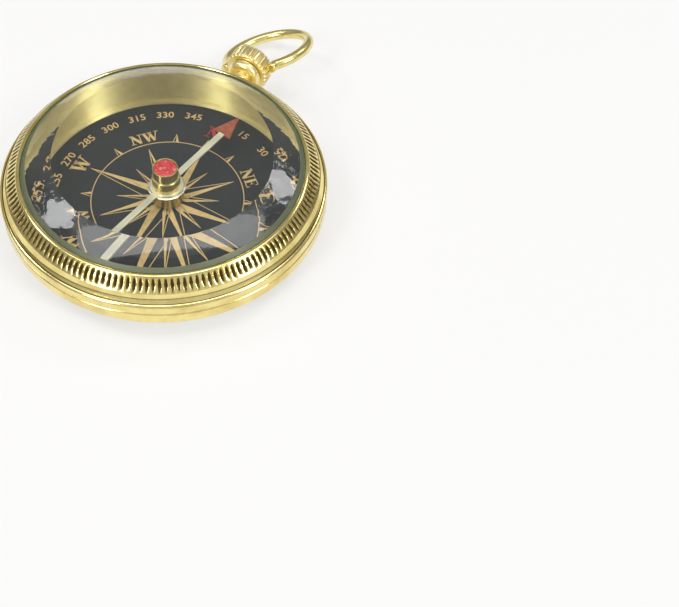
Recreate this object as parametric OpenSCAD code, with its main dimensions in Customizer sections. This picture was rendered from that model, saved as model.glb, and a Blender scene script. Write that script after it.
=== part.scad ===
// Pocket compass: a fluted brass case with a bevelled crystal, a printed dial,
// a needle that turns on a pin, and a crown that carries a swinging bow.
// Millimetres. The origin is on the dial's axis, in the plane that the back rests on.
// +Z points out through the crystal, and +Y from the axis to the crown, at the dial's north.

/* [Case] */
// Largest diameter of the case, at the beads that meet on the seam
case_d = 50; // [46:0.5:60]
// Height of the seam above the table
back_h = 5.1; // [4.6:0.1:7]
// Height of the bezel, from the seam to the top of its lip
bezel_h = 5.1; // [4.7:0.1:7]
// Number of flutes round the bezel's shoulder
bezel_flutes = 160; // [60:4:200]
// Number of flutes round the back's shoulder
back_flutes = 156; // [60:4:200]
// Depth of a flute on the case
flute_depth = 0.2; // [0.1:0.02:0.3]

/* [Bezel] */
// Radial width of the lip round the crystal
lip_w = 0.65; // [0.4:0.05:1]
// Radial width of the bezel's fluted shoulder
shoulder_w = 1.5; // [1.4:0.05:2.4]
// Drop of the bezel's fluted shoulder
shoulder_drop = 1.8; // [1.4:0.05:1.9]
// Radial width of the hollow band below the shoulder
cove_w = 0.9; // [0.6:0.05:1.4]
// Drop of the hollow band below the shoulder
cove_drop = 1.5; // [1:0.05:1.8]
// Radial step from the hollow band out to the bead
bead_w = 0.5; // [0.3:0.05:0.8]

/* [Back] */
// Width of the raised foot ring that the compass rests on
foot_w = 0.95; // [0.7:0.05:1.6]
// Radial width of the back's fluted shoulder
back_shoulder_w = 2.8; // [2.2:0.05:3.2]
// Rise of the back's fluted shoulder
back_shoulder_rise = 2.05; // [1.6:0.05:2.4]
// Radial width from the back's flutes out to the edge of its bead
back_band_w = 0.9; // [0.85:0.05:1.2]
// Height of the back's bead
back_bead_h = 2.1; // [1.2:0.05:2.2]
// Thickness of the engraved plate
plate_t = 0.3; // [0.2:0.05:0.4]
// Thickness of the back's floor, between the plate and the dial
floor_t = 0.35; // [0.3:0.05:0.6]

/* [Crystal] */
// Rise of the crystal's flat top above the lip
crystal_rise = 2.05; // [1.5:0.05:3]
// Radial width of the crystal's bevel
bevel_w = 4; // [2.5:0.05:6]
// Radial width of the steep ground edge round the bevel
edge_w = 0.55; // [0.2:0.05:0.8]
// Rise of the steep ground edge above the lip
edge_rise = 0.35; // [0.2:0.05:0.8]
// Height of the crystal's edge below the lip
crystal_edge = 0.65; // [0.3:0.05:0.8]
// Thickness of the gasket round and under the crystal
gasket_t = 0.25; // [0.2:0.05:0.4]
// Thickness of the bezel's ledge under the gasket
ledge_t = 0.4; // [0.3:0.05:0.6]
// Radial width of the bezel's ledge under the gasket
ledge_w = 0.65; // [0.45:0.05:0.8]

/* [Dial] */
// Thickness of the dial card
dial_t = 0.3; // [0.2:0.05:0.5]
// Height of the ring that clamps the dial card
dial_ring_t = 0.5; // [0.3:0.05:0.8]
// Width of the ring that clamps the dial card
dial_ring_w = 0.95; // [0.7:0.05:1.4]
// Thickness of the plain sleeve inside the case, which holds that ring down
sleeve_t = 1.4; // [1.1:0.05:1.5]

/* [Needle] */
// Gap between the needle's red tip and the inner sleeve
tip_gap = 3; // [1.5:0.1:5]
// Length of the red arrowhead
head_l = 4.5; // [3:0.1:7]
// Width of the red arrowhead
head_w = 3.3; // [2:0.1:5]
// Gap between the needle's tail and the inner sleeve
tail_gap = 4.3; // [2:0.1:6]
// Width of the needle's blade
blade_w = 1; // [0.7:0.05:1.6]
// Thickness of the needle's blade
blade_t = 0.3; // [0.2:0.05:0.5]
// Bearing of the needle's tip from the dial's north, clockwise from above
needle_bearing = 11.5; // [0:0.5:359.5]

/* [Hub] */
// Height of the hub's collar above the dial
hub_lift = 0.4; // [0.35:0.05:0.8]
// Diameter of the hub's collar
collar_d = 5.1; // [4.6:0.1:6]
// Height of the hub's collar
collar_h = 2.25; // [1.6:0.05:2.4]
// Diameter of the hub's washer
washer_d = 5.8; // [5.2:0.1:7]
// Thickness of the hub's washer
washer_t = 0.25; // [0.2:0.05:0.4]
// Diameter of the cap's lower barrel
cap_d = 4.3; // [4.1:0.1:5]
// Diameter of the cap's upper barrel
cap_top_d = 3.9; // [3.6:0.1:4]
// Height of the cap's lower barrel
cap_step_h = 1.9; // [1.6:0.1:2.2]
// Height of the cap's upper barrel
cap_top_h = 1.6; // [1.4:0.1:1.8]
// Thickness of the cap's rim round the jewel
cap_rim = 0.2; // [0.15:0.05:0.25]
// Thickness of the jewel
jewel_t = 1.2; // [1:0.05:1.3]
// Diameter of the steel pin that the needle turns on
pin_d = 0.8; // [0.6:0.05:1]
// Diameter of the boss that holds the pin
boss_d = 2; // [1.6:0.1:2.2]
// Height of the boss above the dial
boss_h = 1.9; // [1:0.1:2.4]

/* [Pendant] */
// Height of the crown's axis above the seam
pendant_rise = 0.5; // [0:0.1:0.8]
// Diameter of the pendant's neck
neck_d = 3; // [2.4:0.1:3.6]
// Bare length of the neck between the case and its collar
neck_gap = 1; // [0.6:0.1:2]
// Length of the neck's collar
neck_collar_l = 1.4; // [1:0.1:2]
// Diameter of the neck's collar
neck_collar_d = 5.7; // [5:0.1:6.4]
// Diameter of the crown over its flutes
crown_d = 7.4; // [7:0.1:8.4]
// Length of the crown
crown_l = 3.2; // [2.8:0.1:4]
// Number of flutes round the crown
crown_flutes = 30; // [18:1:36]
// Depth of a flute on the crown
crown_flute_depth = 0.25; // [0.15:0.05:0.35]
// Diameter of the screw that the crown turns on
screw_d = 1.5; // [1.2:0.05:1.8]
// Diameter of the screw's head
screw_head_d = 3.6; // [3:0.1:4.4]
// Length of the screw's head
screw_head_l = 1.45; // [1:0.05:2]
// Turn of the crown about its axis, which raises the bow's +X side
crown_yaw = 24; // [0:1:60]

/* [Bow] */
// Diameter of the bow's wire
wire_d = 1.7; // [1.4:0.05:2]
// Radius of the bow's ring, to the middle of the wire
bow_r = 7.3; // [7:0.1:9]
// Length of the bow's straight legs, from its pivots to the ring
bow_leg_l = 0.6; // [0.4:0.05:1.4]
// Diameter of the bow's pivot pins
bow_pin_d = 1.1; // [0.9:0.05:1.2]
// Length of a pivot pin inside the crown
bow_pin_l = 1.3; // [1:0.05:1.5]
// Tilt of the bow from the crown's axis, up positive
bow_tilt = -11; // [-20:1:20]

/* [Hidden] */
$fn = 96;

// Overrun of a cut past the face that it leaves
over = 0.5;
// Clearance round a piece that is seated in another and doesn't move
fit = 0.02;
// Clearance round a piece that turns
run = 0.05;
// Gap at the side of a piece that turns
side_gap = 0.15;

// Width of the dial card's rim under the sleeve
dial_lap = 0.165;
// Rounding of the dial ring's inner edge, as a share of its height
ring_round_share = 0.6;

// Heights of the stack, from the table up
floor_z = plate_t;
dial_z = floor_z + floor_t;
dial_top = dial_z + dial_t;
sleeve_z = dial_top + dial_ring_t;
lip_z = back_h + bezel_h;
crystal_z = lip_z - crystal_edge;
pocket_z = crystal_z - gasket_t;
sleeve_top = pocket_z - ledge_t;

// Radii of the case, from the outside in
bead_r = case_d / 2;
cove_r = bead_r - bead_w;
shoulder_r = cove_r - cove_w;
lip_r = shoulder_r - shoulder_w;
pocket_r = lip_r - lip_w;
gasket_r = pocket_r - fit;
crystal_r = gasket_r - gasket_t - fit;
sleeve_r = pocket_r - ledge_w;
bore_r = sleeve_r + sleeve_t;
dial_r = sleeve_r + dial_lap;
back_band_r = bead_r - back_band_w;
foot_r = back_band_r - back_shoulder_w;
plate_pocket_r = foot_r - foot_w;

// Edges of the case: the lip's rounding, the foot's bevel, and the bevels at the seam
lip_round = 0.15;
// Share of the crystal's edge below the lip that stands free of its gasket
edge_start_share = 0.45;
// Height at which the gasket ends and the crystal's steep edge starts
edge_start = lip_z - crystal_edge * edge_start_share;
foot_bevel = 0.15;
seam_bevel = 0.15;
// Share of the distance between two flutes that a groove takes
groove_share = 0.62;
// Hollow of the bezel's band and of the back's, as shares of the steps beside them
cove_sag_share = 0.125;
band_sag_share = 0.2;
// Sides of the groove round the foot ring, as shares of the ring's width
foot_groove_shares = [0.4, 0.6];

// Engraved lines on the plate: width, depth, and distances in from its rim
line_w = 0.12;
line_depth = 0.06;
line_insets = [0.22, 0.42, 2.2];
// Bevel round the plate's rim
plate_bevel = 0.1;

// Heights of the hub, from the dial up
collar_z = dial_top + hub_lift;
washer_z = collar_z + collar_h;
blade_z = washer_z + washer_t;
cap_z = blade_z + blade_t;
cap_top = cap_z + cap_step_h + cap_top_h;
jewel_z = cap_top - jewel_t;
// Radii in the hub: its bore, which stands well clear of the boss, the collar's spigot
// through washer and blade and into the cap, and the jewel
hub_play = 0.4;
spigot_wall = 0.3;
spigot_grip = 0.8;
boss_r = boss_d / 2;
hub_bore_r = boss_r + hub_play;
spigot_r = hub_bore_r + spigot_wall;
spigot_l = washer_t + blade_t + spigot_grip;
// Width of the boss's flange, as a share of the collar above it
flange_share = 0.8;
jewel_r = cap_top_d / 2 - cap_rim - fit;
// The jewel's cup, and the pin's point, which stands just clear of the cup's bottom
cup_r = 0.75;
cup_depth = 0.65;
cup_end_r = 0.1;
point_l = 1;
point_r = 0.05;
pin_top = jewel_z + cup_depth - run;

// Places along the pendant's axis, and its radii; the neck has a solid end under the screw
pendant_z = back_h + pendant_rise;
neck_floor = 1;
neck_y = bore_r + 2 * run;
neck_r = neck_d / 2;
collar_y = bead_r + neck_gap;
crown_y = collar_y + neck_collar_l + side_gap;
screw_head_y = crown_y + crown_l + side_gap;
screw_y = neck_y + neck_floor;
screw_r = screw_d / 2;
crown_r = crown_d / 2;
crown_bevel = 0.3;
crown_end_bevel = 0.65;
pivot_share = 0.47;
pivot_y = crown_y + crown_l * pivot_share;
// Bell of the neck's collar: its narrow end and its lip as shares of its mouth and its length
bell_share = 0.72;
bell_lip_share = 0.7;
bell_sag_share = 0.08;
// Rounding of the screw's head, as a share of its length
head_round_share = 0.45;

// The bow: its legs stand clear of the crown's sides
wire_r = wire_d / 2;
leg_x = crown_r + side_gap + wire_r;
bow_reach = bow_leg_l + sqrt(bow_r * bow_r - leg_x * leg_x);
// End of a leg past its pivot, and the knuckle where it meets the ring, just proud of the wire
leg_end_share = 0.8;
knuckle_share = 1.04;
leg_end = wire_r * leg_end_share;
knuckle_r = wire_r * knuckle_share;

// Points round an arc about c, from angle a0 to a1
function arc(c, r, a0, a1, steps = 6) =
    [for (i = [0 : steps]) let (a = a0 + (a1 - a0) * i / steps) c + r * [cos(a), sin(a)]];

// Points from p0 to p1 that bulge to the right of the way by sag at the middle
function bulge(p0, p1, sag, steps = 6) =
    let (way = (p1 - p0) / norm(p1 - p0), side = [way[1], -way[0]])
    [for (i = [0 : steps]) let (t = i / steps) p0 + (p1 - p0) * t + side * sag * 4 * t * (1 - t)];

// Copies spaced evenly round Z
module around(count) {
    for (i = [0 : count - 1]) {
        rotate([0, 0, 360 * i / count]) children();
    }
}

// V grooves down a coned face, from p0 to p1 with the metal on the left of the way
module flute_cuts(count, p0, p1) {
    half = PI * min(p0[0], p1[0]) / count * groove_share;
    around(count)
        translate([p0[0], 0, p0[1]])
            rotate([0, atan2(p1[0] - p0[0], p1[1] - p0[1]), 0])
                linear_extrude(norm(p1 - p0))
                    polygon([[flute_depth, 0], [0, half], [-over, half], [-over, -half], [0, -half]]);
}

// Lays a piece drawn along +Z on the pendant's axis, at y from the case's axis
module on_pendant(y) {
    translate([0, y, pendant_z])
        rotate([-90, 0, 0]) children();
}

// Cuts the hole through the case's wall that the neck is screwed into
module neck_hole() {
    on_pendant(neck_y - over)
        cylinder(r = neck_r + fit, h = bead_r - neck_y + 2 * over);
}

// Back half: foot ring, fluted shoulder, smooth band and bead outside; dial pocket inside
module case_back() {
    foot = [foot_r + foot_bevel, foot_bevel];
    band = [back_band_r, foot_bevel + back_shoulder_rise];
    bead_z = back_h - back_bead_h;
    color("#c9b06a")
        difference() {
            rotate_extrude()
                polygon(concat(
                    [[plate_pocket_r, 0], [foot_r, 0], foot],
                    bulge(band, [cove_r, bead_z], -bead_w * band_sag_share),
                    arc([cove_r, bead_z + bead_w], bead_w, -90, 0),
                    [[bead_r, back_h - seam_bevel], [bead_r - seam_bevel, back_h]],
                    [[bore_r, back_h], [bore_r, sleeve_z], [dial_r + fit, sleeve_z]],
                    [[dial_r + fit, dial_z], [pin_d / 2 + fit, dial_z]],
                    [[pin_d / 2 + fit, floor_z], [plate_pocket_r, floor_z]]
                ));
            flute_cuts(back_flutes, band, foot);
            translate([0, 0, -over])
                difference() {
                    cylinder(r = foot_r - foot_w * foot_groove_shares[0], h = over + flute_depth / 2);
                    cylinder(r = foot_r - foot_w * foot_groove_shares[1], h = over + flute_depth / 2);
                }
            neck_hole();
        }
}

// Engraved plate let into the back, with its face level with the foot ring
module back_plate() {
    rim_r = plate_pocket_r - fit;
    color("#cdbb86")
        difference() {
            rotate_extrude()
                polygon([
                    [0, 0], [rim_r - plate_bevel, 0], [rim_r, plate_bevel], [rim_r, plate_t],
                    [0, plate_t]
                ]);
            for (inset = line_insets) {
                translate([0, 0, -over])
                    difference() {
                        cylinder(r = rim_r - inset, h = over + line_depth);
                        cylinder(r = rim_r - inset - line_w, h = over + line_depth);
                    }
            }
        }
}

// Front half: lip round the crystal, fluted shoulder, hollow band and bead, ledge inside
module front_bezel() {
    shoulder = [shoulder_r, lip_z - shoulder_drop];
    bead_z = lip_z - shoulder_drop - cove_drop;
    color("#d3bb72")
        difference() {
            rotate_extrude()
                polygon(concat(
                    [[bore_r, back_h], [bead_r - seam_bevel, back_h], [bead_r, back_h + seam_bevel]],
                    arc([cove_r, bead_z - bead_w], bead_w, 0, 90),
                    bulge([cove_r, bead_z], shoulder, -cove_w * cove_sag_share),
                    arc([lip_r - lip_round, lip_z - lip_round], lip_round, 45, 90, 3),
                    arc([pocket_r + lip_round, lip_z - lip_round], lip_round, 90, 180, 3),
                    [[pocket_r, pocket_z], [sleeve_r, pocket_z], [sleeve_r, sleeve_top]],
                    [[bore_r, sleeve_top]]
                ));
            flute_cuts(bezel_flutes, [lip_r, lip_z - lip_round], shoulder);
            neck_hole();
        }
}

// Bevelled crystal: a flat top inside a broad bevel, with a steep ground edge down to the gasket
module crystal() {
    color([0.85, 0.9, 0.88, 0.35])
        rotate_extrude()
            polygon([
                [0, crystal_z], [crystal_r, crystal_z], [crystal_r, edge_start],
                [crystal_r - edge_w, lip_z + edge_rise],
                [crystal_r - edge_w - bevel_w, lip_z + crystal_rise], [0, lip_z + crystal_rise]
            ]);
}

// Soft gasket with an L section, round the crystal's edge and under it
module crystal_gasket() {
    color("#8d9183")
        rotate_extrude()
            polygon([
                [sleeve_r, pocket_z], [gasket_r, pocket_z], [gasket_r, edge_start],
                [gasket_r - gasket_t, edge_start], [gasket_r - gasket_t, crystal_z],
                [sleeve_r, crystal_z]
            ]);
}

// Plain sleeve inside both halves: it joins them and holds the dial's ring down
module inner_sleeve() {
    color("#c8a94e")
        translate([0, 0, sleeve_z])
            difference() {
                cylinder(r = bore_r - fit, h = sleeve_top - sleeve_z);
                translate([0, 0, -over])
                    cylinder(r = sleeve_r, h = sleeve_top - sleeve_z + 2 * over);
            }
}

// Printed dial card
module dial() {
    color("#25282a")
        translate([0, 0, dial_z])
            difference() {
                cylinder(r = dial_r, h = dial_t);
                translate([0, 0, -over])
                    cylinder(r = pin_d / 2 + fit, h = dial_t + 2 * over);
            }
}

// Thin ring that clamps the card's rim, rounded on its inner edge
module dial_ring() {
    inner_r = dial_r - dial_ring_w;
    round_r = dial_ring_t * ring_round_share;
    color("#a89b5c")
        rotate_extrude()
            polygon(concat(
                [[dial_r, dial_top], [dial_r, sleeve_z]],
                arc([inner_r + round_r, sleeve_z - round_r], round_r, 90, 180),
                [[inner_r, dial_top]]
            ));
}

// Flanged boss on the dial that holds the pin upright
module pivot_boss() {
    flange_t = hub_lift / 2;
    color("#b89a4a")
        translate([0, 0, dial_top])
            difference() {
                union() {
                    cylinder(r = boss_r, h = boss_h);
                    cylinder(d = collar_d * flange_share, h = flange_t);
                }
                translate([0, 0, -over])
                    cylinder(r = pin_d / 2 + fit, h = boss_h + 2 * over);
            }
}

// Steel pin that stands in the floor and carries the needle on its point
module pivot_pin() {
    color("#c4c8cc")
        translate([0, 0, floor_z]) {
            cylinder(d = pin_d, h = pin_top - point_l - floor_z);
            translate([0, 0, pin_top - point_l - floor_z])
                cylinder(r1 = pin_d / 2, r2 = point_r, h = point_l);
        }
}

// Flat steel needle with a red arrowhead, held in the hub by its round middle
module needle() {
    tip = sleeve_r - tip_gap;
    tail = sleeve_r - tail_gap;
    color("#d9d7cf")
        rotate([0, 0, -needle_bearing])
            translate([0, 0, blade_z])
                linear_extrude(blade_t)
                    difference() {
                        union() {
                            circle(d = collar_d);
                            translate([-blade_w / 2, -tail])
                                square([blade_w, tail + tip - head_l]);
                            translate([0, -tail])
                                circle(d = blade_w);
                            polygon([[-head_w / 2, tip - head_l], [head_w / 2, tip - head_l], [0, tip]]);
                        }
                        circle(r = spigot_r + fit);
                    }
}

// Weighted collar under the needle, with a spigot up through the washer and the blade
module hub_collar() {
    color("#b8964a")
        translate([0, 0, collar_z])
            difference() {
                union() {
                    cylinder(d = collar_d, h = collar_h);
                    cylinder(r = spigot_r, h = collar_h + spigot_l);
                }
                translate([0, 0, -over])
                    cylinder(r = hub_bore_r, h = collar_h + spigot_l + 2 * over);
            }
}

// Bright washer between the collar and the blade
module hub_washer() {
    color("#e2e4e6")
        translate([0, 0, washer_z])
            difference() {
                cylinder(d = washer_d, h = washer_t);
                translate([0, 0, -over])
                    cylinder(r = spigot_r + fit, h = washer_t + 2 * over);
            }
}

// Turned cap in two steps with a line between them, bored for the spigot and the jewel
module hub_cap() {
    line_z = cap_z + cap_step_h;
    line_t = cap_rim / 2;
    cap_r = cap_d / 2;
    top_r = cap_top_d / 2;
    seat_r = spigot_r + fit;
    color("#a8925a")
        rotate_extrude()
            polygon([
                [seat_r, cap_z], [cap_r, cap_z], [cap_r, line_z - line_t], [top_r - line_t, line_z - line_t],
                [top_r - line_t, line_z], [top_r, line_z], [top_r, cap_top], [jewel_r + fit, cap_top],
                [jewel_r + fit, jewel_z], [hub_bore_r, jewel_z], [hub_bore_r, washer_z + spigot_l + fit],
                [seat_r, washer_z + spigot_l + fit]
            ]);
}

// Red jewel in the top of the cap, with a cup below that sits on the pin's point
module hub_jewel() {
    color("#a33226")
        translate([0, 0, jewel_z])
            difference() {
                cylinder(r = jewel_r, h = jewel_t);
                translate([0, 0, -over])
                    cylinder(r = cup_r, h = over);
                cylinder(r1 = cup_r, r2 = cup_end_r, h = cup_depth);
            }
}

// Tube screwed into the case's wall
module pendant_neck() {
    neck_l = collar_y + neck_collar_l - neck_y;
    color("#b59a5a")
        on_pendant(neck_y)
            difference() {
                cylinder(r = neck_r, h = neck_l);
                translate([0, 0, screw_y - neck_y])
                    cylinder(r = screw_r + fit, h = neck_l);
            }
}

// Bell-shaped collar on the end of the neck
module pendant_collar() {
    mouth_r = neck_collar_d / 2;
    color("#cdb062")
        on_pendant(collar_y)
            rotate_extrude()
                polygon(concat(
                    [[neck_r + fit, 0]],
                    bulge([mouth_r * bell_share, 0], [mouth_r, neck_collar_l * bell_lip_share],
                        mouth_r * bell_sag_share),
                    [[mouth_r, neck_collar_l], [neck_r + fit, neck_collar_l]]
                ));
}

// Fluted crown that turns on its screw, with a hole in each side for the bow
module crown() {
    color("#caa652")
        translate([0, 0, pendant_z])
            rotate([0, -crown_yaw, 0])
                difference() {
                    translate([0, crown_y, 0])
                        rotate([-90, 0, 0])
                            difference() {
                                rotate_extrude()
                                    polygon([
                                        [screw_r + run, 0], [crown_r - crown_bevel, 0],
                                        [crown_r, crown_bevel], [crown_r, crown_l - crown_end_bevel],
                                        [crown_r - crown_end_bevel, crown_l], [screw_r + run, crown_l]
                                    ]);
                                around(crown_flutes)
                                    translate([crown_r, 0, -over])
                                        cylinder(r = crown_flute_depth, h = crown_l + 2 * over, $fn = 24);
                            }
                    for (side = [-1, 1]) {
                        translate([side * (crown_r - bow_pin_l - side_gap), pivot_y, 0])
                            rotate([0, side * 90, 0])
                                cylinder(d = bow_pin_d + 2 * run, h = bow_pin_l + side_gap + over);
                    }
                }
}

// Screw in the neck with a round knob of a head, which keeps the crown on
module crown_screw() {
    head_r = screw_head_d / 2;
    round_r = screw_head_l * head_round_share;
    color("#c2a75c")
        on_pendant(screw_y)
            rotate_extrude()
                polygon(concat(
                    [[0, 0], [screw_r, 0], [screw_r, screw_head_y - screw_y]],
                    [[head_r, screw_head_y - screw_y]],
                    arc([head_r - round_r, screw_head_y - screw_y + screw_head_l - round_r], round_r, 0, 90),
                    [[0, screw_head_y - screw_y + screw_head_l]]
                ));
}

// Bow: a wire ring left open at the crown, with a short leg and a pivot pin at each end
module bow() {
    open_angle = asin(leg_x / bow_r);
    color("#cdb468")
        translate([0, pivot_y, pendant_z])
            rotate([0, -crown_yaw, 0])
                rotate([bow_tilt, 0, 0]) {
                    translate([0, bow_reach, 0])
                        rotate([0, 0, open_angle - 90])
                            rotate_extrude(angle = 360 - 2 * open_angle)
                                translate([bow_r, 0])
                                    circle(r = wire_r, $fn = 32);
                    for (side = [-1, 1]) {
                        translate([side * leg_x, bow_leg_l, 0])
                            sphere(r = knuckle_r, $fn = 32);
                        translate([side * leg_x, -leg_end, 0])
                            rotate([-90, 0, 0])
                                cylinder(r = wire_r, h = bow_leg_l + leg_end, $fn = 32);
                        translate([side * (crown_r - bow_pin_l), 0, 0])
                            rotate([0, side * 90, 0])
                                cylinder(d = bow_pin_d, h = leg_x - crown_r + bow_pin_l, $fn = 32);
                    }
                }
}

case_back();
back_plate();
front_bezel();
crystal();
crystal_gasket();
inner_sleeve();
dial();
dial_ring();
pivot_boss();
pivot_pin();
needle();
hub_collar();
hub_washer();
hub_cap();
hub_jewel();
pendant_neck();
pendant_collar();
crown();
crown_screw();
bow();
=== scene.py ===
# Pocket compass: a fluted brass case with a bevelled crystal, a printed dial, a needle that turns
# on a pin, and a crown that carries a swinging bow. Metres, in the row frame: +Z out through the
# crystal, +Y to the crown and the dial's north. Sizes in the sections below are millimetres.
import math

import bmesh
import bpy
from mathutils import Matrix, Quaternion, Vector


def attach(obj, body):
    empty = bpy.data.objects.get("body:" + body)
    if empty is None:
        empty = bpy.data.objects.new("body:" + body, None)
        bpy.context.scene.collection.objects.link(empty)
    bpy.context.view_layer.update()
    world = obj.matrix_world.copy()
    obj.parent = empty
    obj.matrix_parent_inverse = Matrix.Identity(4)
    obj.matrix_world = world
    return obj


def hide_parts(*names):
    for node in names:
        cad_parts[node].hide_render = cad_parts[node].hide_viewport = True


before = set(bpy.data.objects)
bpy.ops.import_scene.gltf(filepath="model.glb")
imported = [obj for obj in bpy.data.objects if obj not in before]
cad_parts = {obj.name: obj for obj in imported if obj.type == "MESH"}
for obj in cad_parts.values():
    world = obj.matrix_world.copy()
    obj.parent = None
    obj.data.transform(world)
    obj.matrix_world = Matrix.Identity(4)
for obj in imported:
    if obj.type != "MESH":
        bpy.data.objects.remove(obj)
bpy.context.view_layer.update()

# ------------------------------ Camera
# A plain camera where the photographer stood: above the dial's south-south-east, looking down
# at the crystal, turned a little on its own axis, with the compass left and above the middle.
MM = 0.001
camera_eye = Vector((63.50, -97.78, 134.38)) * MM
lip_centre = Vector((0, 0, 10.0)) * MM
sensor_mm, picture_pixels, focal_pixels, roll_degrees = 36, 679, 1100.0, 5.08
lip_pixel, middle_pixel = (164.406, 162.201), (339.5, 303.5)

camera = bpy.data.objects.new("camera", bpy.data.cameras.new("camera"))
camera.data.sensor_width = sensor_mm
camera.data.lens = focal_pixels * sensor_mm / picture_pixels
camera.data.clip_start = 0.01
look = (lip_centre - camera_eye).to_track_quat("-Z", "Y")
roll = Quaternion((0, 0, 1), math.radians(roll_degrees))
aim = Vector((0, 0, -1)).rotation_difference(Vector((
    (lip_pixel[0] - middle_pixel[0]) / focal_pixels,
    (middle_pixel[1] - lip_pixel[1]) / focal_pixels, -1)))
camera.matrix_world = Matrix.LocRotScale(camera_eye, look @ roll.inverted() @ aim.inverted(), None)
bpy.context.scene.collection.objects.link(camera)
bpy.context.scene.camera = camera
bpy.context.scene.view_settings.view_transform = "Standard"


# ------------------------------ Studio
# White paper for a floor, under a long softbox overhead, a small lamp at each side and two upright
# softboxes in front. The room is plain grey, which gives the polished brass darker reflections.
def linear(hex_colour):
    """An sRGB hex colour as linear RGBA."""
    parts = [int(hex_colour[i:i + 2], 16) / 255 for i in (1, 3, 5)]
    return (*[p / 12.92 if p <= 0.04045 else ((p + 0.055) / 1.055) ** 2.4 for p in parts], 1)


def fill(tree, node, inputs):
    """Puts a value or a link on each input named."""
    for name, value in inputs.items():
        if isinstance(value, bpy.types.NodeSocket):
            tree.links.new(value, node.inputs[name])
        else:
            node.inputs[name].default_value = value


def add(tree, kind, settings=None, inputs=None):
    """A new node with its settings and inputs."""
    node = tree.nodes.new(kind)
    for name, value in (settings or {}).items():
        setattr(node, name, value)
    fill(tree, node, inputs or {})
    return node


def new_material(name, shader):
    """A material with its tree and its Principled shader, set from a dict."""
    material = bpy.data.materials.new(name)
    material.use_nodes = True
    tree = material.node_tree
    tree.nodes.clear()
    surface = add(tree, "ShaderNodeBsdfPrincipled", inputs=shader)
    add(tree, "ShaderNodeOutputMaterial", inputs={"Surface": surface.outputs[0]})
    return material, tree, surface


def new_object(name, mesh, material=None):
    """An object at the origin for a mesh, which takes its name, linked into the scene."""
    mesh.name = name
    piece = bpy.data.objects.new(name, mesh)
    bpy.context.scene.collection.objects.link(piece)
    if material:
        mesh.materials.clear()
        mesh.materials.append(material)
    return piece


floor_reach, floor_z = 4.0, -0.02 * MM
sheet = bpy.data.meshes.new("paper_floor")
sheet.from_pydata([(x * floor_reach, y * floor_reach, floor_z)
                   for x, y in ((-1, -1), (1, -1), (1, 1), (-1, 1))], [], [(0, 1, 2, 3)])
# White paper: matt, with only a faint sheen. What sees it straight, in metal or through glass
# gets most of it as plain white, and the rest keeps the shadow
paper, tree, matt_paper = new_material("white_paper", {
    "Base Color": linear("#F4F3F1"), "Roughness": 0.75, "Specular IOR Level": 0.2})


def seen_directly(tree):
    """1 for rays from the camera, off metal and through glass, 0 for those that carry light."""
    path = add(tree, "ShaderNodeLightPath")
    mirrored = add(tree, "ShaderNodeMath", {"operation": "MAXIMUM"}, {
        0: path.outputs["Is Camera Ray"], 1: path.outputs["Is Glossy Ray"]})
    return add(tree, "ShaderNodeMath", {"operation": "MAXIMUM"}, {
        0: mirrored.outputs[0], 1: path.outputs["Is Transmission Ray"]}).outputs[0]


whiter = add(tree, "ShaderNodeMath", {"operation": "MULTIPLY"}, {0: seen_directly(tree), 1: 0.6})
white = add(tree, "ShaderNodeEmission", inputs={"Color": (1, 1, 1, 1), "Strength": 1})
seen = add(tree, "ShaderNodeMixShader", inputs={
    0: whiter.outputs[0], 1: matt_paper.outputs[0], 2: white.outputs[0]})
fill(tree, tree.nodes["Material Output"], {"Surface": seen.outputs[0]})
new_object("paper_floor", sheet, paper)

# The room: plain grey light. Metal and glass see pale walls over a darker skirting, the front
# one the brightest, and the camera sees one even tone
wall_tones, skirting_tone, room_light, room_seen = (0.38, 0.66), 0.3, 0.26, 0.7
room = bpy.data.worlds.new("studio_room")
room.use_nodes = True
tree = room.node_tree
way = add(tree, "ShaderNodeTexCoord").outputs["Generated"]
front = add(tree, "ShaderNodeVectorMath", {"operation": "DOT_PRODUCT"}, {
    0: way, 1: (camera_eye.x / camera_eye.xy.length, camera_eye.y / camera_eye.xy.length, 0)})
wall = add(tree, "ShaderNodeMapRange", {"interpolation_type": "SMOOTHSTEP"}, {
    "Value": front.outputs["Value"], "From Min": 0.1, "From Max": 0.9,
    "To Min": wall_tones[0], "To Max": wall_tones[1]})
skirting = add(tree, "ShaderNodeMapRange", {"interpolation_type": "SMOOTHSTEP"}, {
    "Value": add(tree, "ShaderNodeSeparateXYZ", inputs={0: way}).outputs[2],
    "From Min": 0.06, "From Max": 0.2, "To Min": skirting_tone})
wall = add(tree, "ShaderNodeMath", {"operation": "MULTIPLY"}, {
    0: wall.outputs[0], 1: skirting.outputs[0]})
carried = add(tree, "ShaderNodeMix", inputs={
    0: seen_directly(tree), 2: room_light, 3: wall.outputs[0]})
level = add(tree, "ShaderNodeMix", inputs={
    0: add(tree, "ShaderNodeLightPath").outputs["Is Camera Ray"],
    2: carried.outputs[0], 3: room_seen})
fill(tree, tree.nodes["Background"], {"Color": (1, 1, 1, 1), "Strength": level.outputs[0]})
bpy.context.scene.world = room


def softbox(name, azimuth, elevation, width, depth, brightness, distance=1.25):
    """A soft light that faces the compass, from a bearing in degrees; a paper white is 1 bright."""
    flat = Vector((math.cos(math.radians(azimuth)), math.sin(math.radians(azimuth)), 0))
    place = (flat * math.cos(math.radians(elevation))
             + Vector((0, 0, math.sin(math.radians(elevation))))) * distance
    lamp = bpy.data.lights.new(name, "AREA")
    lamp.shape = "RECTANGLE"
    lamp.size, lamp.size_y = width, depth
    lamp.energy = brightness * math.pi * width * depth
    light = bpy.data.objects.new(name, lamp)
    light.matrix_world = Matrix.LocRotScale(place, (-place).to_track_quat("-Z", "Y"), None)
    light.visible_camera = False
    bpy.context.scene.collection.objects.link(light)


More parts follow.
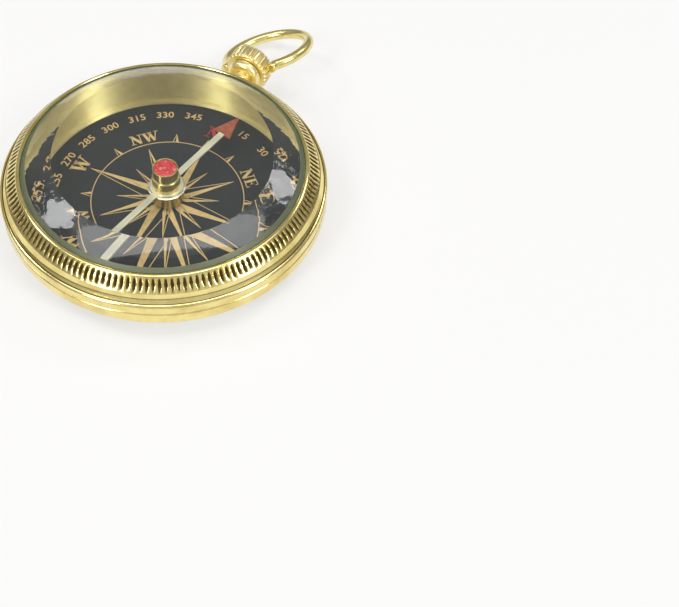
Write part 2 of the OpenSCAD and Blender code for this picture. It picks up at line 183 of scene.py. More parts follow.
softbox("overhead_softbox", -57, 91.0, 1.8, 0.385, 2.7)
softbox("left_lamp", -173, 46, 0.28, 0.28, 7.2)
softbox("right_lamp", 65, 40, 0.28, 0.26, 7.2)
softbox("front_left_softbox", -106, 38, 0.28, 0.5, 9.5)
softbox("front_right_softbox", -8, 38, 0.28, 0.5, 9.5)


# ------------------------------ Case back
# The back half of the case, spun and turned from brass sheet: a flat foot ring, a coned shoulder
# pressed with flutes, a smooth band and a bead at the seam, then polished all over.
def eased(corners, steps=3):
    """An outline whose corners (radius, height, rounding) are rounded where rounding is given."""
    points = []
    for i, corner in enumerate(corners):
        here = Vector(corner[:2])
        if len(corner) < 3 or not corner[2]:
            points.append(tuple(here))
            continue
        back = Vector(corners[i - 1][:2]) - here
        on = Vector(corners[(i + 1) % len(corners)][:2]) - here
        a, b = (here + way.normalized() * min(corner[2], way.length * 0.45) for way in (back, on))
        for k in range(steps + 1):
            t = k / steps
            points.append(tuple(a * (1 - t) ** 2 + here * 2 * t * (1 - t) + b * t ** 2))
    return points


def arc(centre, radius, start, end, steps=6):
    """Points round an arc, from angle start to end in degrees."""
    angles = [math.radians(start + (end - start) * i / steps) for i in range(steps + 1)]
    return [(centre[0] + radius * math.cos(angle), centre[1] + radius * math.sin(angle))
            for angle in angles]


def hollow(p, q, sag, steps=6):
    """Points from p to q that dip by sag, to the right of the way, at the middle."""
    p, q = Vector(p), Vector(q)
    side = Vector((q.y - p.y, p.x - q.x)).normalized()
    return [tuple(p.lerp(q, i / steps) + side * sag * 4 * (i / steps) * (1 - i / steps))
            for i in range(steps + 1)]


def finished(mesh, sharp):
    """Merges doubles, turns the faces outwards and shades smooth except at sharp edges."""
    shape = bmesh.new()
    shape.from_mesh(mesh)
    bmesh.ops.remove_doubles(shape, verts=shape.verts, dist=1e-7)
    bmesh.ops.recalc_face_normals(shape, faces=shape.faces)
    shape.to_mesh(mesh)
    shape.free()
    mesh.shade_smooth()
    mesh.set_sharp_from_angle(angle=math.radians(sharp))
    return mesh


def mesh_from(shape):
    """A mesh from a bmesh, which is freed."""
    mesh = bpy.data.meshes.new("shape")
    shape.to_mesh(mesh)
    shape.free()
    return mesh


def skin(shape, rings, capped=True):
    """Quads between closed rings of vertices, with a cap on the first and the last."""
    for a, b in zip(rings, rings[1:]):
        for i in range(len(a)):
            j = (i + 1) % len(a)
            shape.faces.new((a[i], a[j], b[j], b[i]))
    if capped:
        shape.faces.new(rings[0][::-1])
        shape.faces.new(rings[-1])


# Repeats one sector, ray, tick or mark round the compass's axis, and joins the copies
tree = repeat_round = bpy.data.node_groups.new("repeat_round_axis", "GeometryNodeTree")
for label, kind in (("Geometry", "Geometry"), ("Count", "Int"), ("First Angle", "Float"),
                    ("Join Distance", "Float"), ("Finish", "Material")):
    tree.interface.new_socket(label, in_out="INPUT", socket_type="NodeSocket" + kind)
tree.interface.new_socket("Geometry", in_out="OUTPUT", socket_type="NodeSocketGeometry")
given = add(tree, "NodeGroupInput").outputs
places = add(tree, "GeometryNodeMeshLine", {"mode": "OFFSET"},
             {"Count": given["Count"], "Offset": (0, 0, 0)})
step = add(tree, "ShaderNodeMath", {"operation": "DIVIDE"}, {0: 2 * math.pi, 1: given["Count"]})
turn = add(tree, "ShaderNodeMath", {"operation": "MULTIPLY_ADD"},
           {0: add(tree, "GeometryNodeInputIndex").outputs[0], 1: step.outputs[0],
            2: given["First Angle"]})
spin = add(tree, "FunctionNodeAxisAngleToRotation", None,
           {"Axis": (0, 0, 1), "Angle": turn.outputs[0]})
copies = add(tree, "GeometryNodeInstanceOnPoints", None,
             {"Points": places.outputs[0], "Instance": given["Geometry"],
              "Rotation": spin.outputs[0]})
solid = add(tree, "GeometryNodeRealizeInstances", None, {"Geometry": copies.outputs[0]})
joined = add(tree, "GeometryNodeMergeByDistance", None,
             {"Geometry": solid.outputs[0], "Distance": given["Join Distance"]})
dressed = add(tree, "GeometryNodeSetMaterial", None,
              {"Geometry": joined.outputs[0], "Material": given["Finish"]})
add(tree, "NodeGroupOutput", None, {"Geometry": dressed.outputs[0]})


def repeated(name, one, count, material, first_angle=0.0, sharp=32):
    """A plain mesh object of count copies of a mesh, evenly round Z."""
    piece = new_object(name, one)
    modifier = piece.modifiers.new("repeat", "NODES")
    modifier.node_group = repeat_round
    values = {"Count": count, "First Angle": first_angle, "Join Distance": 0.5e-6,
              "Finish": material}
    for item in repeat_round.interface.items_tree:
        if item.in_out == "INPUT" and item.name in values:
            modifier[item.identifier] = values[item.name]
    graph = bpy.context.evaluated_depsgraph_get()
    whole = bpy.data.meshes.new_from_object(
        piece.evaluated_get(graph), preserve_all_data_layers=True, depsgraph=graph)
    piece.modifiers.clear()
    piece.data = finished(whole, sharp)
    return piece


groove_cut = ((-0.5, 0), (-0.33, 0), (-0.17, 0.5), (0, 1), (0.17, 0.5), (0.33, 0), (0.5, 0))


def fluted_sector(outlines, count, depth, cuts=groove_cut):
    """A few flutes' share of a ring, one outline each. Each point is (radius, height, push): at
    the groove's middle it moves in by push times depth, along (dr, dz) given after it. A point
    with no such way stays put, and its push is how deep it lies in a groove that runs all round."""
    shape = bmesh.new()
    groove = shape.verts.layers.float.new("groove")
    columns = []
    for number, outline in enumerate(outlines):
        for place, share in cuts[1 if number else 0:]:
            angle = 2 * math.pi * (number + place) / count
            column = []
            for radius, height, push, dr, dz in outline:
                r = radius + dr * depth * push * share
                vert = shape.verts.new((r * math.cos(angle) * MM, r * math.sin(angle) * MM,
                                        (height + dz * depth * push * share) * MM))
                vert[groove] = push * share if dr or dz else push
                column.append(vert)
            columns.append(column)
    skin(shape, columns, capped=False)
    return mesh_from(shape)


def plain(points):
    """Outline points that no flute moves."""
    return [(r, z, 0, 0, 0) for r, z in points]


def pressed(p, q, foot, steps=16, foot_taper=0.45, top_taper=0.35):
    """Points from p to q across a shoulder, pressed in along its normal. The groove starts at foot,
    a share of the way, and runs to a point at both its ends."""
    way = (Vector(q) - Vector(p)).normalized()
    inward = Vector((-way.y, way.x))
    if inward.x > 0:
        inward = -inward
    points = []
    for i in range(steps + 1):
        t = i / steps
        at = Vector(p).lerp(Vector(q), t)
        push = max(0.0, min(1.0, (t - foot) / foot_taper, (1.0 - t) / top_taper))
        points.append((at.x, at.y, push, inward.x, inward.y))
    return points


def polished_brass(name, tone, tarnish, roughness, wobble_um, groove_tarnish_and_shade=0.95):
    """Sheet or bar brass, turned and buffed: near-mirror, pale yellow, with faint waves left by the
    buffing wheel, hand marks that dull it in patches, and dark brown down in the flutes and
    grooves, partly tarnish and partly painted shade."""
    material, tree, surface = new_material(name, {"Metallic": 1.0})
    place = add(tree, "ShaderNodeTexCoord").outputs["Object"]
    marks = add(tree, "ShaderNodeTexNoise", inputs={
        "Vector": place, "Scale": 1 / (5.0 * MM), "Detail": 4.0, "Roughness": 0.6})
    patches = add(tree, "ShaderNodeMapRange", inputs={
        "Value": marks.outputs[0], "From Min": 0.42, "From Max": 0.7, "To Max": 0.6})
    stained = add(tree, "ShaderNodeMix", {"data_type": "RGBA"}, {
        0: patches.outputs[0], 6: linear(tone), 7: linear(tarnish)})
    # Painted shade: the deeper a point lies in a flute or groove, the closer its colour goes to
    # dark brown, partly tarnish and partly the shade that falls down there
    flute = add(tree, "ShaderNodeAttribute", {"attribute_name": "groove"})
    depth = add(tree, "ShaderNodeMapRange", inputs={
        "Value": flute.outputs["Fac"], "From Max": 0.28, "To Max": groove_tarnish_and_shade})
    colour = add(tree, "ShaderNodeMix", {"data_type": "RGBA"}, {
        0: depth.outputs[0], 6: stained.outputs[2], 7: linear("#43310C")})
    dull = add(tree, "ShaderNodeMapRange", inputs={
        "Value": marks.outputs[0], "From Min": 0.35, "From Max": 0.75,
        "To Min": roughness, "To Max": roughness + 0.12})
    rough = add(tree, "ShaderNodeMath", {"operation": "MULTIPLY_ADD"}, {
        0: depth.outputs[0], 1: 0.35, 2: dull.outputs[0]})
    waves = add(tree, "ShaderNodeTexNoise", inputs={
        "Vector": place, "Scale": 1 / (4.5 * MM), "Detail": 1.5, "Roughness": 0.5})
    scratches = add(tree, "ShaderNodeTexNoise", inputs={
        "Vector": place, "Scale": 1 / (0.35 * MM), "Detail": 3.0, "Roughness": 0.7})
    height = add(tree, "ShaderNodeMath", {"operation": "MULTIPLY_ADD"}, {
        0: scratches.outputs[0], 1: 0.12, 2: waves.outputs[0]})
    relief = add(tree, "ShaderNodeBump", inputs={
        "Height": height.outputs[0], "Distance": wobble_um * 1e-6})
    fill(tree, surface, {"Base Color": colour.outputs[2], "Roughness": rough.outputs[0],
                         "Normal": relief.outputs[0]})
    return material


# The case's flutes and grooves darken almost fully to dark brown: tarnish and painted shade
case_brass = polished_brass("buffed_case_brass", "#F7E59A", "#C2A452", 0.1, 22.0)
foot_edge, back_band = (21.45, 0.15), (24.1, 2.2)
# Four flutes in a row start a little unlike, and the row repeats
flute_feet, flute_depth, back_flutes, bezel_flutes = (0.0, 0.05, 0.01, 0.08), 0.2, 156, 160
back_outlines = [
    plain(eased([(20.35, 0.0), (20.7, 0.0), (20.78, 0.1, 0.04), (20.9, 0.1, 0.04),
                 (20.98, 0.0, 0.03), (21.3, 0.0, 0.1)]))
    + pressed(foot_edge, back_band, foot, foot_taper=0.3, top_taper=0.3)
    + plain(hollow(back_band, (24.5, 3.0), 0.1)[1:])
    + plain(arc((24.5, 3.5), 0.5, -75, 0))
    + plain(eased([(25.0, 4.95, 0.05), (24.85, 5.1, 0.05), (22.2, 5.1), (22.2, 1.45),
                   (20.985, 1.45), (20.985, 0.65), (0.42, 0.65), (0.42, 0.3), (20.35, 0.3)]))
    for foot in flute_feet]
case_back = repeated("case_back_turned", fluted_sector(back_outlines, back_flutes, flute_depth),
                     back_flutes // len(flute_feet), case_brass)
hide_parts("case_back")
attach(case_back, "case")


# ------------------------------ Back plate
# A thin brass disc let into the back, brushed straight across, then engraved and filled with
# black enamel: a border of small anchors between fine double lines, round a plain wind rose.
def inked(shapes, height, thickness, turn=0.0):
    """A thin layer of ink: each shape is a closed outline in mm, laid at height, thickness up."""
    shape = bmesh.new()
    spin = Matrix.Rotation(turn, 3, "Z")
    for outline in shapes:
        skin(shape, [[shape.verts.new((spin @ Vector((x, y, z))) * MM) for x, y in outline]
                     for z in (height, height + thickness)])
    bmesh.ops.recalc_face_normals(shape, faces=shape.faces)
    return mesh_from(shape)


def unit_circle(count, offset=0.0):
    """Points evenly round a circle of radius 1, the first one offset steps on from +X."""
    angles = [2 * math.pi * (k + offset) / count for k in range(count)]
    return [(math.cos(angle), math.sin(angle)) for angle in angles]


def turned(outline, around=160, open_at_axis=False, sharp=32):
    """Mesh turned about Z from an outline in mm. open_at_axis: it starts and ends on the axis."""
    shape = bmesh.new()
    rings = []
    for radius, height in outline:
        if radius < 1e-6:
            rings.append([shape.verts.new((0, 0, height * MM))] * around)
        else:
            rings.append([shape.verts.new((radius * x * MM, radius * y * MM, height * MM))
                          for x, y in unit_circle(around)])
    for i in range(len(rings) - (1 if open_at_axis else 0)):
        low, high = rings[i], rings[(i + 1) % len(rings)]
        for k in range(around):
            corners = [low[k], low[(k + 1) % around], high[(k + 1) % around], high[k]]
            corners = [v for j, v in enumerate(corners) if v not in corners[:j]]
            if len(corners) > 2:
                shape.faces.new(corners)
    return finished(mesh_from(shape), sharp)


def inked_ring(outer, width, height, thickness):
    """A flat ring of ink, by its outer radius."""
    inner, top = outer - width, height + thickness
    return turned([(inner, height), (outer, height), (outer, top), (inner, top)], 240)


def line(p, q, width):
    """A straight line's outline, width across."""
    p, q = Vector(p), Vector(q)
    way = (q - p).normalized() * width / 2
    side = Vector((-way.y, way.x))
    return [p - side, q - side, q + side, p + side]


def bow_line(centre, radius, start, end, width, steps):
    """Short straight outlines that follow an arc, angles in degrees."""
    points = arc(centre, radius, start, end, steps)
    return [line(a, b, width) for a, b in zip(points, points[1:])]


def joined_as(name, pieces, material):
    """One object from several, all of one material."""
    shape = bmesh.new()
    for piece in pieces:
        shape.from_mesh(piece.data)
        bpy.data.objects.remove(piece)
    for face in shape.faces:
        face.material_index = 0
    return new_object(name, mesh_from(shape), material)


def mottled(name, shader, mark_mm, detail, fineness, tones=None, tone_range=(0.0, 1.0, 0.0, 1.0),
            rough_range=None, relief_um=0.0):
    """A finish whose tone, roughness and relief follow one noise. mark_mm is the width of its marks
    along each axis, and a range is from low, from high, to low, to high."""
    material, tree, surface = new_material(name, shader)
    place = add(tree, "ShaderNodeTexCoord").outputs["Object"]
    spread = add(tree, "ShaderNodeVectorMath", {"operation": "MULTIPLY"}, {
        0: place, 1: [1 / (width * MM) for width in mark_mm]})
    marks = add(tree, "ShaderNodeTexNoise", inputs={
        "Vector": spread.outputs[0], "Scale": 1, "Detail": detail,
        "Roughness": fineness}).outputs[0]
    ends = ("From Min", "From Max", "To Min", "To Max")
    if tones:
        share = add(tree, "ShaderNodeMapRange", inputs={
            "Value": marks, **dict(zip(ends, tone_range))})
        shade = add(tree, "ShaderNodeMix", {"data_type": "RGBA"}, {
            0: share.outputs[0], 6: linear(tones[0]), 7: linear(tones[1])})
        fill(tree, surface, {"Base Color": shade.outputs[2]})
    if rough_range:
        rough = add(tree, "ShaderNodeMapRange", inputs={
            "Value": marks, **dict(zip(ends, rough_range))})
        fill(tree, surface, {"Roughness": rough.outputs[0]})
    if relief_um:
        relief = add(tree, "ShaderNodeBump", inputs={
            "Height": marks, "Distance": relief_um * 1e-6})
        fill(tree, surface, {"Normal": relief.outputs[0]})
    return material


# Brass brushed in one direction with fine grit: satin, with hairlines along X and a soft streaky
# sheen. The lines are drawn 0.15 mm apart, coarser than the real ones, so they show
brushed_brass = mottled(
    "brushed_plate_brass", {"Metallic": 1.0, "Anisotropic": 0.5}, (9.0, 0.15, 1.0), 3.0, 0.65,
    ("#D9C98F", "#F6EBC2"), rough_range=(0.3, 0.7, 0.24, 0.4), relief_um=4.0)
# Black enamel in the engraving: glossy where it sets level with the brass
black_fill = new_material("black_engraving_enamel", {
    "Base Color": linear("#1A1814"), "Roughness": 0.35})[0]
plate_r, plate_face, ink_t = 20.33, 0.02, 0.02
back_plate = new_object("back_plate_brushed", turned(eased([
    (0, plate_face), (plate_r - 0.1, plate_face, 0.05), (plate_r, 0.12, 0.04), (plate_r, 0.3),
    (0, 0.3)]), open_at_axis=True), brushed_brass)
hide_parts("back_plate")
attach(back_plate, "case")

# One anchor, its ring towards the rim, drawn at the dial's radius along +Y
anchor_y, anchor_t = 18.42, 0.15
anchor = (
    [line((0, anchor_y + 0.15), (0, anchor_y + 1.1), anchor_t)]
    + [line((-0.3, anchor_y + 0.95), (0.3, anchor_y + 0.95), 0.13)]
    + bow_line((0, anchor_y + 1.24), 0.14, -90, 270, 0.09, 10)
    + bow_line((0, anchor_y + 0.6), 0.46, 200, 340, anchor_t, 8)
    + [[(-0.58, anchor_y + 0.3), (-0.29, anchor_y + 0.43), (-0.46, anchor_y + 0.68)],
       [(0.58, anchor_y + 0.3), (0.46, anchor_y + 0.68), (0.29, anchor_y + 0.43)]])
engraved = [repeated("anchor_border", inked(anchor, 0.0, ink_t), 96, black_fill)]
for ring_r, ring_w in ((20.13, 0.12), (18.08, 0.12), (17.75, 0.06), (12.4, 0.1), (12.1, 0.05),
                       (6.2, 0.07), (5.9, 0.04)):
    engraved.append(new_object("engraved_ring", inked_ring(ring_r, ring_w, 0.0, ink_t), black_fill))


def wind_rose(eighths, quarters, main, edge, spine, height, thickness, material):
    """Sixteen rays by tip radius, base radius and half width: each is filled on its clockwise side
    and outlined on the other, edge thick, with a line down its middle where spine is given."""
    rays = []
    for count, first, (tip, base, width) in (
            (8, math.pi / 8, eighths), (4, math.pi / 4, quarters), (4, 0.0, main)):
        shapes = [[(0, 0), (width, base), (0, tip)], line((-width, base), (0, tip - edge), edge),
                  line((0, 0.4), (-width, base), edge)]
        if spine:
            shapes.append(line((0, 0.4), (0, tip), spine))
        rays.append(repeated("rays", inked(shapes, height, thickness), count, material, first))
    return rays


engraved += wind_rose((9.4, 3.3, 0.8), (11.4, 3.4, 1.3), (16.9, 3.6, 1.9), 0.07, 0.05,
                      0.0, ink_t, black_fill)
engraved.append(repeated(
    "engraved_ticks", inked([line((0, 16.4), (0, 17.7), 0.07)], 0.0, ink_t), 72, black_fill))
engraving = joined_as("back_plate_engraving", engraved, black_fill)
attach(engraving, "case")


# ------------------------------ Front bezel
# The front half, pressed onto the back and holding the crystal: a narrow bright lip, a coned
# shoulder pressed with 160 flutes, a hollow band that takes dark reflections, and a bead.
lip_edge, shoulder_foot = (22.0, 10.06), (23.7, 8.28)
bezel_outlines = [
    plain([(22.2, 5.1)]) + plain(eased([(22.2, 5.1), (24.85, 5.1, 0.05), (25.0, 5.25, 0.05)])[1:])
    + plain(arc((24.5, 6.4), 0.5, 0, 84))
    # Painted shade: this point in the crease above the bead counts as half deep in a groove, so the
    # brass paints a dark brown line round the case there
    + [(24.46, 6.83, 0.5, 0, 0)] + plain(hollow((24.38, 6.95), shoulder_foot, -0.13, 8))
    + pressed(shoulder_foot, lip_edge, foot)[1:]
    + plain([(21.94, 10.1), (21.84, 10.145), (21.72, 10.175), (21.6, 10.195), (21.52, 10.2)]
            + eased([(21.45, 10.17, 0.03), (21.45, 9.3), (20.8, 9.3, 0.05), (20.8, 8.9),
                     (22.2, 8.9)]))
    for foot in flute_feet]
front_bezel = repeated(
    "front_bezel_turned", fluted_sector(bezel_outlines, bezel_flutes, flute_depth),
    bezel_flutes // len(flute_feet), case_brass)
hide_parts("front_bezel")
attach(front_bezel, "case")


# ------------------------------ Crystal
# Thick float glass, flat on top with one broad bevel polished by hand, which bends the dial's
# print under it. The corners are just broken, so they catch a thin line of light.
truest_way, bevel_middle = math.radians(300), 18.6 * MM
wobble_um, polish_film = 75.0, 0.5


def clear_glass(name, hand_polished):
    """Soda-lime glass, ground and polished: clear with a faint green cast. Lamp light passes
    straight in, so that the dial under it is lit. A hand-polished face has low waves, finer and
    steeper in its film of polish than in the glass, and is true on the side polished last."""
    material, tree, surface = new_material(name, {
        "Base Color": linear("#F9FCFA"), "Roughness": 0.0, "IOR": 1.5, "Transmission Weight": 1.0,
        "Coat Weight": polish_film if hand_polished else 0.0, "Coat Roughness": 0.06,
        "Coat IOR": 1.5})
    if hand_polished:
        place = add(tree, "ShaderNodeTexCoord").outputs["Object"]
        truest = add(tree, "ShaderNodeVectorMath", {"operation": "DOT_PRODUCT"}, {0: place, 1: (
            math.cos(truest_way) / bevel_middle, math.sin(truest_way) / bevel_middle, 0)})
        share = add(tree, "ShaderNodeMapRange", {"interpolation_type": "SMOOTHSTEP"}, {
            "Value": truest.outputs["Value"], "From Min": 0.6, "From Max": 0.9,
            "To Min": 1.0, "To Max": 0.03})
        for socket, wave_mm, detail, depth_um in (("Normal", 2.6, 2.0, wobble_um),
                                                  ("Coat Normal", 2.2, 3.5, 5 * wobble_um)):
            waves = add(tree, "ShaderNodeTexNoise", inputs={
                "Vector": place, "Scale": 1 / (wave_mm * MM), "Detail": detail, "Roughness": 0.5})
            height = add(tree, "ShaderNodeMath", {"operation": "MULTIPLY"}, {
                0: waves.outputs[0], 1: share.outputs[0]})
            relief = add(tree, "ShaderNodeBump", inputs={
                "Height": height.outputs[0], "Distance": depth_um * 1e-6})
            fill(tree, surface, {socket: relief.outputs[0]})
    path = add(tree, "ShaderNodeLightPath")
    lamps = add(tree, "ShaderNodeMath", {"operation": "MAXIMUM"}, {
        0: path.outputs["Is Shadow Ray"], 1: path.outputs["Is Diffuse Ray"]})
    through = add(tree, "ShaderNodeBsdfTransparent", inputs={"Color": linear("#F2F8F5")})
    both = add(tree, "ShaderNodeMixShader", inputs={
        0: lamps.outputs[0], 1: surface.outputs[0], 2: through.outputs[0]})
    fill(tree, tree.nodes["Material Output"], {"Surface": both.outputs[0]})
    return material


# The steep outer edge is ground, not polished: frosted, so it scatters the brass beside it
ground_glass = new_material("ground_glass_edge", {
    "Base Color": linear("#A9B596"), "Roughness": 0.38, "IOR": 1.5, "Transmission Weight": 0.75})[0]
crystal_shape = turned(eased([
    (0, 9.55), (21.16, 9.55, 0.06), (21.16, 9.9), (20.61, 10.55, 0.04), (16.61, 12.25, 0.07),
    (0, 12.25)], 2), 240, True, 8)
crystal = new_object("crystal_bevelled", crystal_shape,
                     clear_glass("polished_crystal_glass", False))
crystal_shape.materials.append(ground_glass)
crystal_shape.materials.append(clear_glass("hand_polished_bevel_glass", True))
# Above the gasket, faces are told apart by how far up they face: wall, edge, bevel and flat top
gasket_top, wall_up, edge_up, bevel_up = 9.88 * MM, 0.02, 0.8, 0.99
for face in crystal_shape.polygons:
    if face.center.z > gasket_top and wall_up < abs(face.normal.z) < bevel_up:
        face.material_index = 1 if face.normal.z < edge_up else 2
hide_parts("crystal")
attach(crystal, "case")


# ------------------------------ Gasket
# Soft ring between crystal and bezel, seen as a thin grey-green line: moulded nitrile rubber,
# matt and slightly powdery, pressed down just below the lip.
nitrile = new_material("moulded_nitrile", {"Base Color": linear("#66735F"), "Roughness": 0.7})[0]
gasket = new_object("crystal_gasket_ring", turned(eased([
    (20.8, 9.3), (21.43, 9.3), (21.43, 9.9, 0.06), (21.18, 9.9, 0.06), (21.18, 9.55),
    (20.8, 9.55)])), nitrile)
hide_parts("crystal_gasket")
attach(gasket, "case")


# ------------------------------ Inner sleeve and dial ring
# A plain ring of drawn brass tube lines the case and presses a thin wire-like ring on the dial's
# rim. Both are left as turned: satin, with lines that run round and spread light up and down.
def turned_satin(name, tones, roughness, line_mm, lines_um, spread):
    """Brass straight from the lathe: satin, with fine turning lines round the axis. Below 0.3 mm
    the lines don't show, so they are drawn that coarse, and the sheen is stretched across them."""
    material = mottled(
        name, {"Metallic": 1.0, "Anisotropic": spread, "Anisotropic Rotation": 0.25}, (3.0,) * 3,
        3.0, 0.6, tones, rough_range=(0.3, 0.7, roughness, roughness + 0.08))
    tree = material.node_tree
    place = add(tree, "ShaderNodeTexCoord").outputs["Object"]
    flat = add(tree, "ShaderNodeVectorMath", {"operation": "MULTIPLY"}, {0: place, 1: (1, 1, 0)})
    radius = add(tree, "ShaderNodeVectorMath", {"operation": "LENGTH"}, {0: flat.outputs[0]})
    height = add(tree, "ShaderNodeSeparateXYZ", inputs={0: place}).outputs[2]
    down = add(tree, "ShaderNodeMath", {"operation": "ADD"}, {
        0: radius.outputs["Value"], 1: height})
    rings = add(tree, "ShaderNodeTexNoise", {"noise_dimensions": "1D"}, {
        "W": down.outputs[0], "Scale": 1 / (line_mm * MM), "Detail": 2.0, "Roughness": 0.7})
    relief = add(tree, "ShaderNodeBump", inputs={
        "Height": rings.outputs[0], "Distance": lines_um * 1e-6})
    fill(tree, tree.nodes["Principled BSDF"], {"Normal": relief.outputs[0]})
    return material


sleeve_brass = turned_satin("drawn_sleeve_brass", ("#FDEDB2", "#DCC47C"), 0.47, 0.4, 2.0, 1.0)
sleeve = new_object("inner_sleeve_turned", turned(eased([
    (22.18, 1.45), (22.18, 8.9), (20.8, 8.9, 0.06), (20.8, 1.45, 0.05)]), 240), sleeve_brass)
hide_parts("inner_sleeve")
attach(sleeve, "case")
dial_ring = new_object("dial_ring_turned", turned([(20.96, 0.96), (20.96, 1.45)] + arc(
    (20.315, 1.15), 0.3, 90, 180) + [(20.015, 0.96)], 240), sleeve_brass)
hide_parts("dial_ring")
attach(dial_ring, "case")


# ------------------------------ Dial card
# A disc of card coated matt black, screen printed in tan: a wind rose of sixteen rays, a fine
# circle with eight ticks, the eight points' letters and bearings every 15 degrees. North is red.
# Matt black coating on card: charcoal, faintly mottled by the card's fibres
black_card = mottled("black_coated_card", {"Roughness": 0.62, "Specular IOR Level": 0.35},
                     (0.5,) * 3, 4.0, 0.7, ("#1A1C20", "#292C31"), relief_um=6.0)
# Screen printing ink: flat and opaque, a little thinner in places where the mesh dragged
tan_ink, red_ink = (
    mottled(name, {"Roughness": 0.55, "Specular IOR Level": 0.4}, (0.7,) * 3, 3.0, 0.6,
            tones, (0.5, 0.8, 0.0, 0.7))
    for name, tones in (("tan_dial_ink", ("#F8CD8E", "#CBA068")),
                        ("red_dial_ink", ("#D23A46", "#8E2B34"))))
dial_top, print_t = 0.95, 0.015
dial = new_object("dial_card_black", turned(eased([
    (0.42, 0.65), (20.965, 0.65), (20.965, dial_top), (0.42, dial_top)]), 240), black_card)
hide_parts("dial")
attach(dial, "case")

circle_r, circle_w = 11.67, 0.14
printed = wind_rose((7.9, 2.9, 0.52), (10.7, 2.9, 0.95), (13.65, 3.0, 1.3), 0.11, 0.0,
                    dial_top, print_t, tan_ink)
printed.append(new_object(
    "dial_circle", inked_ring(circle_r + circle_w / 2, circle_w, dial_top, print_t), tan_ink))
printed.append(repeated("dial_ticks", inked(
    [[(0, circle_r), (0.48, circle_r), (0, 13.4)], line((-0.48, circle_r), (0, 13.35), 0.1)],
    dial_top, print_t), 8, tan_ink, math.pi / 8))

# Letters as strokes from (x, y) to (x, y) with a width, in a box 100 units high, after the
# letter's own width: heavy stems, thin hairlines, slab serifs
letters = {
    "N": (92, ((16, 0, 16, 100, 9), (10, 98, 80, 3, 24), (80, 0, 80, 100, 9), (-2, 3, 36, 3, 6),
               (-4, 97, 26, 97, 6), (62, 97, 98, 97, 6))),
    "E": (78, ((20, 0, 20, 100, 22), (2, 96.5, 74, 96.5, 7), (2, 3.5, 78, 3.5, 7),
               (30, 51, 54, 51, 7), (71, 98, 71, 76, 6), (75, 2, 75, 27, 6), (54, 38, 54, 64, 5))),
    "W": (130, ((13, 100, 42, 3, 22), (40, 0, 66, 98, 8), (56, 100, 88, 3, 22), (86, 0, 116, 98, 8),
                (-6, 97, 34, 97, 6), (42, 97, 80, 97, 6), (100, 97, 134, 97, 6))),
    "S": (66, ((56, 82, 46, 93, 7), (46, 94, 33, 96.5, 8), (34, 96.5, 20, 92, 10),
               (21, 93, 11, 82, 14), (11, 83, 12, 69, 18), (10, 72, 25, 58, 21),
               (20, 61, 46, 44, 24), (42, 47, 56, 31, 20), (56, 34, 54, 17, 18),
               (56, 19, 45, 7, 13), (47, 8, 33, 3.5, 9), (34, 3.5, 20, 6, 8), (21, 5.5, 8, 18, 7),
               (60, 97, 60, 68, 5), (4, 3, 4, 33, 5))),
}


def lettered(name, word, height, radius, bearing, material):
    """Letters that stand outwards at a bearing, clockwise from north in degrees."""
    unit, gap = height / 100, 12
    x = -(sum(letters[c][0] for c in word) + gap * (len(word) - 1)) / 2
    shapes = []
    for c in word:
        for x0, y0, x1, y1, width in letters[c][1]:
            shapes.append(line(((x0 + x) * unit, (y0 - 50) * unit + radius),
                               ((x1 + x) * unit, (y1 - 50) * unit + radius), width * unit))
        x += letters[c][0] + gap
    return new_object(name, inked(shapes, dial_top, print_t, -math.radians(bearing)), material)


# The four main points stand larger and further out than the four between them
main_size, between_size = (2.4, 15.25), (1.95, 13.15)
for step, word in enumerate(("NE", "E", "SE", "S", "SW", "W", "NW"), 1):
    printed.append(lettered("dial_letters", word, *(main_size if len(word) == 1 else between_size),
                            step * 45, tan_ink))
north = lettered("dial_north_letter", "N", *main_size, 0, red_ink)
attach(north, "case")


def numbered(number, height, radius, bearing, material):
    """A number that stands outwards at a bearing, in a plain upright face."""
    text = bpy.data.curves.new("number", "FONT")
    text.body = str(number)
    text.offset = 0.012
    text.resolution_u = 3
    holder = bpy.data.objects.new("number", text)
    flat = bpy.data.meshes.new_from_object(holder)
    bpy.data.objects.remove(holder)
    xs, ys = [v.co.x for v in flat.vertices], [v.co.y for v in flat.vertices]
    scale = height / (max(ys) - min(ys))
    middle = Vector(((max(xs) + min(xs)) / 2, (max(ys) + min(ys)) / 2, 0))
    spin = Matrix.Rotation(-math.radians(bearing), 3, "Z")
    shape = bmesh.new()
    shape.from_mesh(flat)
    for v in shape.verts:
        at = (v.co - middle) * scale
        v.co = (spin @ Vector((at.x * 1.08, at.y + radius, 0)) + Vector((0, 0, dial_top))) * MM
    bmesh.ops.remove_doubles(shape, verts=shape.verts, dist=1e-8)
    grown = bmesh.ops.extrude_face_region(shape, geom=shape.faces[:])
    for v in grown["geom"]:
        if isinstance(v, bmesh.types.BMVert):
            v.co.z += print_t * MM
    bmesh.ops.recalc_face_normals(shape, faces=shape.faces)
    return new_object("number", mesh_from(shape), material)


for degrees in range(15, 360, 15):
    printed.append(numbered(degrees, 1.3, 17.6, degrees, tan_ink))
dial_print = joined_as("dial_print_tan", printed, tan_ink)
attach(dial_print, "case")


# ------------------------------ Pivot boss and pin
# The boss is riveted to the dial and holds the steel pin whose point carries the needle. Both
# stand hidden inside the hub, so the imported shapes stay, in turned brass and polished steel.
hub_brass = turned_satin("dulled_hub_brass", ("#DCCB88", "#B09E62"), 0.26, 0.3, 3.0, 0.4)
# Tool steel, ground and polished: bright grey, a sharp sheen
ground_steel = new_material("ground_pin_steel", {
    "Base Color": linear("#C9CCCF"), "Metallic": 1.0, "Roughness": 0.18})[0]
for node_name, finish in (("pivot_boss", hub_brass), ("pivot_pin", ground_steel)):
    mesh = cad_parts[node_name].data
    mesh.materials.clear()
    mesh.materials.append(finish)


